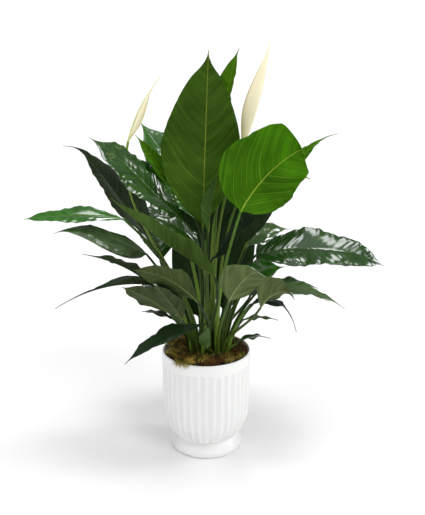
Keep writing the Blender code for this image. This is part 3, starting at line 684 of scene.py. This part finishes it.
def moss_finish():
    """Dried sheet moss: matt, each strand its own straw, olive or brown, specked every 2 mm."""
    made, tree, shader = new_finish("dried_sheet_moss", Roughness=0.9)
    tint = add(tree, "Attribute", attribute_name="tint")
    place = add(tree, "TexCoord").outputs["Object"]
    speck = add(tree, "TexNoise", {"Vector": place, "Scale": 500, "Detail": 3})
    shade = add(tree, "MapRange", [speck, 0.3, 0.7, 0.6, 1.35])
    tone = add(tree, "VectorMath", {0: tint, "Scale": shade}, operation="SCALE")
    bump = add(tree, "Bump", {"Height": speck, "Distance": 0.8 * MM})
    feed(shader, {"Base Color": tone, "Normal": bump})
    return made


def build_leaf(index, row, foot, rib, bow, finishes):
    """Peg, stalk and blade as one run of rings, closed at both ends. The stalk has a shallow
    groove above, a cubed sine, and the blade's green changes by leaf and by a slow sine."""
    length = np.linalg.norm(np.diff(rib[0], axis=0), axis=1).sum()
    columns = int(np.clip(row["width"] / BLADE_COLUMN, 13, 45))
    rows = int(np.clip(length / BLADE_ROW, 40, 150))
    loop = blade_loop(columns)
    across, side, angle = loop
    around = len(across)
    stalk = stalk_of(row, foot, rib, bow)
    share = np.linspace(0, 1, 30)[:-1]
    radius = np.interp(share, (*STALK_STATIONS, 1), (3.0 * MM, *STALK_RADII[1:], KNEE_RADIUS))
    groove = 1 - 0.16 * np.clip(np.sin(angle), 0, 1)[None] ** 3 * smooth(share / 0.1)[:, None]
    stem = tube_points(stalk, share, radius[:, None] * groove, angle)
    peg = stem[:1] - UP * (STALK_DEPTH + 1 * MM)
    before = len(peg) + len(stem)
    shares = np.linspace(0, 1, rows) ** 0.95
    spacing = float(np.clip(row["width"] / MM * 0.165, 6, 15))
    quilt = min(1.0, row["width"] / FULL_QUILT_WIDTH) ** 1.5 * QUILTS.get(row["tone"], 1.05) * MM
    blade, out, along, vein = blade_points(
        row, rib, 1.7 * index, shares, loop, BLADE_THICKNESS, quilt, spacing
    )
    points = np.concatenate([peg, stem, blade])
    upper, under, pale = (linear(value) for value in TONES[row["tone"]])
    vary = rng.uniform(0.9, 1.1) * np.array([rng.uniform(0.92, 1.1), 1.0, rng.uniform(0.85, 1.1)])
    leafy = np.where(side[None, :, None] > 0, upper, under) * vary
    leafy = leafy * (1 + 0.10 * np.sin(along / TONE_RUN + index)[..., None])
    # The highest leaf darkens towards its tip, and the broad young one lightens towards its tip, painted
    # light for light shining through it
    if row["tone"] == "fresh":
        leafy = leafy * (1.12 - 0.35 * smooth((along / length - 0.3) / 0.4))[..., None]
    if row["tone"] == "lime":
        leafy = leafy * (1 + 0.6 * smooth((along / length - 0.45) / 0.4))[..., None]
    climb = np.concatenate([[0], share])[:, None, None]
    stemmy = linear("#66802e") * (1 - climb) + linear("#365418") * climb
    # Painted light and shade: young stalks and about one in five of the others are painted pale as if
    # lit, and the rest darker as if shaded in the clump
    stalk_light_and_shade = 1.7 if row["tone"] in TENDER_TONES or rng.random() < 0.2 else rng.uniform(0.25, 0.8)
    stemmy = stemmy * stalk_light_and_shade * np.ones((1, around, 1))
    bare = np.zeros((before, around))
    fields = {
        "tint": np.concatenate([stemmy, leafy]).reshape(-1, 3),
        "pale": np.tile(pale, (len(points) * around, 1)),
    }
    for field, values in (("vein", vein + 13 * index), ("out", out), ("share", along / length)):
        fields[field] = np.concatenate([bare, values]).ravel()
    quads, caps = wrapped_faces(len(points), around)
    ring, column = np.divmod(quads[:, 0], around)
    worn = np.where(ring < before, 2, np.where(column < columns - 1, 0, 1))
    name = f"leaf_{index + 1:02d}"
    add_piece(f"{name}_fine", points, quads, caps, finishes, name, worn, fields)


def build_bloom(number, row, foot, rib, bow, finishes):
    """Stalk, spathe rolled from margin to margin, and the spadix inside it, whose nubs are a
    tenth of its radius high, as crossed sines."""
    green, cream, spike = finishes
    name = f"bloom_{number}"
    angle = np.arange(BLOOM_SIDES) * 2 * math.pi / BLOOM_SIDES
    stalk = stalk_of(row, foot, rib, bow)
    share = np.linspace(0, 1, 60)
    radius = np.interp(share, BLOOM_STALK_STATIONS, BLOOM_STALK_RADII) * MM
    stem = tube_points(stalk, share, radius[:, None], angle)
    points = np.concatenate([stem[:1] - UP * (STALK_DEPTH + 1 * MM), stem])
    quads, caps = wrapped_faces(len(points), BLOOM_SIDES)
    climb = np.concatenate([[0], share])[:, None]
    tone = linear("#5c7a2c") * (1 - climb) + linear("#7d9a3c") * climb
    tint = np.repeat(tone, BLOOM_SIDES, axis=0)
    add_piece(f"{name}_stalk_fine", points, quads, caps, [green],
              f"{name}_stalk", fields={"tint": tint})
    loop = blade_loop(29)
    shares = np.linspace(0.4 * MM / np.linalg.norm(row["tip"] - row["knee"]), 1, 110)
    blade, out, along, _ = blade_points(row, rib, 0, shares, loop, SPATHE_THICKNESS, 0.0, 12)
    start = np.linspace(0, 1, len(shares))[:, None, None]
    white = linear("#f8f0cc") * (1 - start) + linear("#f9f3d8") * start
    flush = np.exp(-((start / 0.10) ** 2)) * 0.8
    # The smaller bloom keeps a green edge on its left side
    if number == 2:
        left = blade[..., :1].mean(axis=1, keepdims=True) - blade[..., :1]
        left = left / np.maximum(left.max(axis=1, keepdims=True), 0.1 * MM)
        flush = np.maximum(flush, 0.9 * smooth((left - 0.35) / 0.45) * (1 - start) ** 0.4)
    tone = white * (1 - flush) + linear("#86a63c") * flush
    tone = np.broadcast_to(tone, (*blade.shape[:2], 3)).reshape(-1, 3)
    fields = {"tint": tone, "out": np.abs(out).ravel(), "along": along.ravel()}
    quads, caps = wrapped_faces(len(blade), len(loop[0]))
    add_piece(f"{name}_spathe_fine", blade, quads, caps, [cream],
              f"{name}_spathe", fields=fields)
    place = np.linspace(0, 1, 60)
    share = 0.16 + SPADIX_SHARE * place
    room = row["width"] / 2 * outline(row, share)
    ends = np.interp(place, (0, 0.1, 0.96, 1), (0.5, 1, 1, 0.4))
    radius = np.minimum(SPADIX_RADIUS, 0.14 * room) * ends
    seated = (0.5 * radius[0] / ends[0] + 0.8 * MM) / 0.7
    lift = np.interp(place, (0, 0.1, 1), (0, 1, 1))
    lift = seated * (1 - lift) + 0.36 * room * lift
    centre, direction, normal = sampled(rib, share)
    line = (centre + normal * lift[:, None], direction, normal)
    nubs = 1 - 0.10 * np.abs(np.sin(angle * 4)[None] * np.sin(place * 60)[:, None])
    points = tube_points(line, place, radius[:, None] * nubs, angle)
    quads, caps = wrapped_faces(len(points), BLOOM_SIDES)
    add_piece(f"{name}_spadix_fine", points, quads, caps, [spike], f"{name}_spadix")


def flowing(profile, step, blur):
    """A profile resampled at even steps along it and rounded by a moving average."""
    profile = np.array(profile, dtype=float)
    run = np.concatenate([[0], np.cumsum(np.linalg.norm(np.diff(profile, axis=0), axis=1))])
    even = np.linspace(0, run[-1], int(run[-1] / step))
    line = np.column_stack([np.interp(even, run, values) for values in profile.T])
    count = max(1, int(blur / step)) | 1
    padded = np.pad(line, ((count // 2, count // 2), (0, 0)), mode="edge")
    kernel = np.ones(count) / count
    return np.column_stack([np.convolve(values, kernel, mode="valid") for values in padded.T])


def build_pot(glaze):
    """The pot: its profile turned about Z. Each flute is a shallow hollow, deepest on its own
    middle line and dying out on the circle that closes its arched top."""
    turned = flowing(POT_PROFILE, 2.1, 4.2) * MM
    columns = POT_FLUTES * 10
    angle = np.arange(columns) * 2 * math.pi / columns
    radius = turned[:, :1] + 0 * angle[None]
    z = turned[:, 1:] + 0 * angle[None]
    outer = np.arange(len(turned))[:, None] < np.argmax(turned[:, 1])
    lateral = np.abs((angle * POT_FLUTES / (2 * math.pi)) % 1 - 0.5) * 2
    wide = math.pi * BODY_RADIUS / POT_FLUTES * FLUTE_SHARE
    reach = np.minimum(1, (lateral / FLUTE_SHARE)[None])
    top = np.clip(1 - (FLUTE_TOP - z) / wide, 0, None)
    bottom = np.clip(1 - (z - FLUTE_BOTTOM) / wide, 0, None)
    edge = np.sqrt(reach ** 2 + top ** 2 + bottom ** 2)
    hollow = FLUTE_DEPTH * np.clip(1 - edge ** 2, 0, 1) ** 0.75
    hollow = np.where(outer & (radius > WAIST_RADIUS), hollow, 0)
    radius = radius - hollow
    points = np.stack([radius * np.cos(angle), radius * np.sin(angle), z], axis=-1)[1:-1]
    quads, caps = wrapped_faces(len(points), columns)
    fields = {"groove": (hollow[1:-1] / FLUTE_DEPTH).ravel()}
    add_piece("pot_fine", points, quads, caps, [glaze], "pot", fields=fields)


def moss_height(x, y):
    """The moss's lumps: crossed ripples of 26 and 30 mm, a slanting one of 26 mm and a finer
    one of 13 mm."""
    lumps = 0.34 * np.sin(x / 0.0041 + 1.3) * np.sin(y / 0.0047 + 0.4)
    lumps = lumps + 0.28 * np.sin(x / 0.0071 - y / 0.0052 + 2.1)
    lumps = lumps + 0.20 * np.sin(x / 0.0028 + y / 0.0033)
    return MOSS_HEIGHT * (0.82 + 0.32 * lumps)


def held_in(points, radius):
    """Draws these points in to the radius about Z wherever they pass it."""
    wall = np.hypot(points[..., 0], points[..., 1])
    points[..., :2] *= np.minimum(1, radius / wall)[..., None]


def build_moss_bed(finish):
    """A lumpy ring of moss: its cross-section from the clump's opening to the pot's wall, with
    rounded edges, carried round Z."""
    columns = 300
    angle = np.arange(columns) * 2 * math.pi / columns
    outward = np.stack([np.cos(angle), np.sin(angle)], axis=-1)
    middle = outward @ CLUMP
    inner = middle + np.sqrt(CLUMP_OPENING ** 2 - CLUMP @ CLUMP + middle ** 2)
    share = np.concatenate([[0, 0], np.linspace(0.04, 0.96, 14), [1, 1]])[:, None]
    arch = np.sin(np.linspace(0.35, math.pi - 0.5, 14)) ** 0.3
    rim = np.concatenate([[0, 0.55], arch, [0.5, 0]])[:, None]
    reach = inner[None] + (MOSS_OUTER - inner[None]) * share
    x, y = reach * outward[:, 0], reach * outward[:, 1]
    grain = 0.5 * MM * np.sin(x / 0.0009 + 3 * np.sin(y / 0.0011)) * np.sin(y / 0.0008 + 2)
    z = SOIL_TOP + 0.4 * MM + rim * (moss_height(x, y) + grain * (rim > 0.6))
    points = np.stack([x, y, z], axis=-1).transpose(1, 0, 2)
    # The last cross-section joins the first, so the ring has no ends
    quads = wrapped_faces(columns + 1, len(share))[0][:, [0, 3, 2, 1]] % (columns * len(share))
    patch = np.sin(x / 0.011 + 1) * np.sin(y / 0.013 + 2) + 0.6 * np.sin(x / 0.005 - y / 0.006)
    mixed = smooth((patch.T + 1) / 2)[..., None]
    tone = (MOSS_TONES[2] * mixed + MOSS_TONES[5] * (1 - mixed)) * 0.5
    fields = {"tint": tone.reshape(-1, 3)}
    add_piece("moss_bed", points, quads, [], [finish], "moss", fields=fields)


def build_moss_strands(finish):
    """Short curled strands over the bed, in combed clumps: each line leaves its root in its own
    direction and bends with the square of the share along it. Two tufts hang over the rim."""
    clumps = 420
    many = 20
    turn = rng.uniform(0, 2 * math.pi, clumps)
    spread = 75 * MM * np.sqrt(rng.uniform(0.0, 1.0, clumps))
    middle = np.stack([spread * np.cos(turn), spread * np.sin(turn), 0 * turn], axis=-1)
    comb = unit(rng.normal(0, 1, (clumps, 3)) * (1, 1, 0.3))
    x, y, _ = middle.T
    patch = np.sin(x / 0.0046 + 1) * np.sin(y / 0.0052 + 2) + 0.5 * np.sin(x / 0.0125 - y / 0.017)
    at_wall = smooth((spread / MM - 56) / 14)
    rise = (2 + 2.2 * patch + rng.uniform(0, 3, clumps) + 5.5 * at_wall) * MM
    root = middle[:, None] + rng.normal(0, 2.6 * MM, (clumps, many, 3)) * (1, 1, 0)
    held_in(root, ROOT_RADIUS)
    apart = np.hypot(root[..., 0] - CLUMP[0], root[..., 1] - CLUMP[1])
    lumps = moss_height(root[..., 0], root[..., 1]) - 0.8 * MM + rise[:, None]
    root[..., 2] = SOIL_TOP + np.where(apart > CLUMP_OPENING, lumps, 0.5 * MM)
    start = unit(comb[:, None] * 0.5 + rng.normal(0, 0.8, (clumps, many, 3)) + UP * 0.5)
    droop = unit(comb[:, None] * 0.3 + rng.normal(0, 1.1, (clumps, many, 3)) - UP * 0.5)
    length = rng.uniform(3, 8, (clumps, many, 1)) * MM
    step = np.linspace(0, 1, 4)[:, None]
    line = root[:, :, None] + (start * length)[:, :, None] * step
    line = line + (droop * length * 0.6)[:, :, None] * step ** 2
    held_in(line, MOSS_OUTER)
    # Raised clumps take the straw tones and low ones the browns, their own colours, and the raised ones
    # are also painted brighter as painted light on their tops, the low ones darker as painted shade
    pick = np.clip(2.8 - 2.6 * patch + rng.normal(0, 1.0, clumps), 0, 5).astype(int)
    tone = MOSS_TONES[pick] * (0.66 + 0.3 * patch + rng.uniform(-0.38, 0.4, clumps))[:, None]
    tone = np.repeat(tone, many, axis=0) * rng.uniform(0.75, 1.25, (clumps * many, 1))
    strands("moss_strands", line.reshape(-1, 4, 3), tone, finish)
    # Two tufts hang over the rim at the front left
    turn = np.concatenate([rng.normal(middle, 0.045, 34) for middle in (-2.25, -2.05)])[:, None]
    lag = rng.uniform(0, 1, (len(turn), 1))
    reach = np.array([73.0, 78.5, 82.5, 84.8]) + rng.normal(0, 0.5, (len(turn), 4))
    high = np.array([194.0, 199.0, 199.0, 195.5]) + rng.normal(0, 0.6, (len(turn), 4))
    high[:, 3] -= 9 * lag[:, 0]
    reach[:, 3] += 0.8 * lag[:, 0]
    wide = turn + np.cumsum(rng.normal(0, 0.022, (len(turn), 4)), axis=1)
    line = np.stack([reach * np.cos(wide), reach * np.sin(wide), high], axis=-1) * MM
    tone = MOSS_TONES[rng.integers(0, 3, len(turn))] * rng.uniform(0.6, 1.2, (len(turn), 1))
    strands("moss_tufts", line, tone, finish)


def strands(name, line, tone, finish):
    """Three-sided strands along these lines, 0.75 mm in radius at the root and 0.1 mm at the tip."""
    many, rings = line.shape[:2]
    radius = np.array(STRAND_RADII)[:, None, None] * MM
    corner = np.arange(3) * 2 * math.pi / 3
    spin = rng.uniform(0, 6, many)[:, None]
    turn = corner + spin
    ring = np.stack([np.cos(turn), np.sin(turn), 0.5 * np.sin(2 * corner + spin)], axis=-1)
    points = line[:, :, None] + radius * ring[:, None]
    base = np.arange(many)[:, None, None] * rings * 3
    quads, caps = wrapped_faces(rings, 3)
    quads = (quads[None] + base).reshape(-1, 4)
    caps = (np.array(caps)[None] + base).reshape(-1, 3).tolist()
    fields = {"tint": np.repeat(tone, rings * 3, axis=0)}
    add_piece(name, points, quads, caps, [finish], "moss", fields=fields)


def build_plant():
    """Every leaf and bloom, with its foot, rib and bow worked out beside the others."""
    rows = LEAVES + BLOOMS
    feet = feet_of(rows)
    ribs = [rib_of(row) for row in rows]
    bows = bows_of(rows, feet, ribs)
    waxy = leaf_finish("waxy_leaf_upper_side", 0.17, 1.05, 0.35, 0.14, -0.2)
    soft = leaf_finish("soft_sheen_leaf_upper_side", 0.38, 0.22, 0.35, 0.15, -0.4)
    tender = leaf_finish("matt_young_leaf_upper_side", 0.5, 0.06, 0.6, 0.3, -0.4)
    under = leaf_finish("leaf_under_side", 0.5, 0.04, 0.95, 0.52, 0.7)
    stalk = stalk_finish("leaf_stalk_skin", 0.45)
    uppers = {**dict.fromkeys(WAXY_TONES, waxy), **dict.fromkeys(TENDER_TONES, tender)}
    for index, row in enumerate(LEAVES):
        finishes = [uppers.get(row["tone"], soft), under, stalk]
        build_leaf(index, row, feet[index], ribs[index], bows[index], finishes)
    # Spadix: pale yellow-green nubs 2 mm apart
    nubs = nubbed_finish("spadix_tissue", 0.7, 500, "#e6dda0", "#9aa04a", 0.6 * MM)
    finishes = (stalk_finish("bloom_stalk_skin", 0.4), spathe_finish(), nubs)
    for index, row in enumerate(BLOOMS):
        place = len(LEAVES) + index
        build_bloom(index + 1, row, feet[place], ribs[place], bows[place], finishes)


def studio_mesh(name, points, faces, finish):
    """A plain mesh for the studio."""
    mesh = bpy.data.meshes.new(name)
    mesh.from_pydata(points, [], faces)
    mesh.materials.append(finish)
    piece = bpy.data.objects.new(name, mesh)
    bpy.context.scene.collection.objects.link(piece)
    return piece


def build_studio():
    """A white floor under a half sphere of white paper, and broad suns as soft boxes. The paper
    is only the backdrop: it neither shades the plant nor shows in its gloss."""
    paint = new_finish("studio_floor_paint", Roughness=0.9, Base_Color=colour("#f5f5f5"))[0]
    corners = [(x * FLOOR_REACH, y * FLOOR_REACH, 0) for x, y in ((-1, -1), (1, -1), (1, 1), (-1, 1))]
    floor = studio_mesh("floor", corners, [(0, 1, 2, 3)], paint)
    around, rings = 48, 12
    turn = np.linspace(0, 2 * math.pi, around, endpoint=False)
    turn, climb = np.meshgrid(turn, np.linspace(0, math.pi / 2, rings + 1)[:-1])
    shell = [np.cos(turn) * np.cos(climb), np.sin(turn) * np.cos(climb), np.sin(climb)]
    shell = np.stack(shell, axis=-1).reshape(-1, 3) * DOME_RADIUS
    shell = np.concatenate([shell, [[0, 0, DOME_RADIUS]]])
    quads, caps = wrapped_faces(rings, around)
    last = (rings - 1) * around
    crown = [[last + column, last + (column + 1) % around, last + around] for column in range(around)]
    paper = new_finish(
        "white_studio_paper", Roughness=1.0, Base_Color=colour("#f2f2f2"),
        Emission_Color=(1, 1, 1, 1), Emission_Strength=1.0,
    )[0]
    backdrop = studio_mesh("backdrop", shell.tolist(), quads.tolist() + crown, paper)
    backdrop.visible_diffuse = False
    backdrop.visible_glossy = False
    backdrop.visible_transmission = False
    backdrop.visible_shadow = False
    for name, toward, wide, power in SOFT_BOXES:
        lamp = bpy.data.lights.new(name, "SUN")
        lamp.energy = power
        lamp.angle = math.radians(wide)
        made = bpy.data.objects.new(name, lamp)
        direction = unit(np.array(toward))
        made.rotation_euler = (math.acos(direction[2]), 0, math.atan2(direction[0], -direction[1]))
        bpy.context.scene.collection.objects.link(made)
    world = bpy.data.worlds.new("studio")
    bpy.context.scene.world = world
    world.use_nodes = True
    white = world.node_tree.nodes["Background"]
    white.inputs["Color"].default_value = (1, 1, 1, 1)
    white.inputs["Strength"].default_value = 0.2


def build_camera():
    """The photograph's own viewpoint: 1.38 m in front, 0.80 m up, looking 17.2 degrees down."""
    camera = bpy.data.objects.new("camera", bpy.data.cameras.new("camera"))
    camera.data.sensor_width = SENSOR_SIZE
    camera.data.lens = SENSOR_SIZE * FOCAL_PIXELS / PHOTO_HEIGHT
    camera.location = (0.0116, -1.3802, 0.8007)
    camera.rotation_euler = (math.radians(90 - 17.2), 0, 0)
    bpy.context.scene.collection.objects.link(camera)
    bpy.context.scene.camera = camera


build_plant()
build_pot(glaze_finish())
moss = moss_finish()
build_moss_bed(moss)
build_moss_strands(moss)
# Moist potting mix: near black crumbs of about 3 mm
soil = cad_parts["soil"]
soil.data.materials.clear()
soil.data.materials.append(nubbed_finish("moist_potting_mix", 0.95, 320, "#3a2a1a", "#120c07", 2 * MM))
build_studio()
build_camera()
# Colours as the eye of the camera saw them, with white left white
bpy.context.scene.view_settings.view_transform = "Standard"
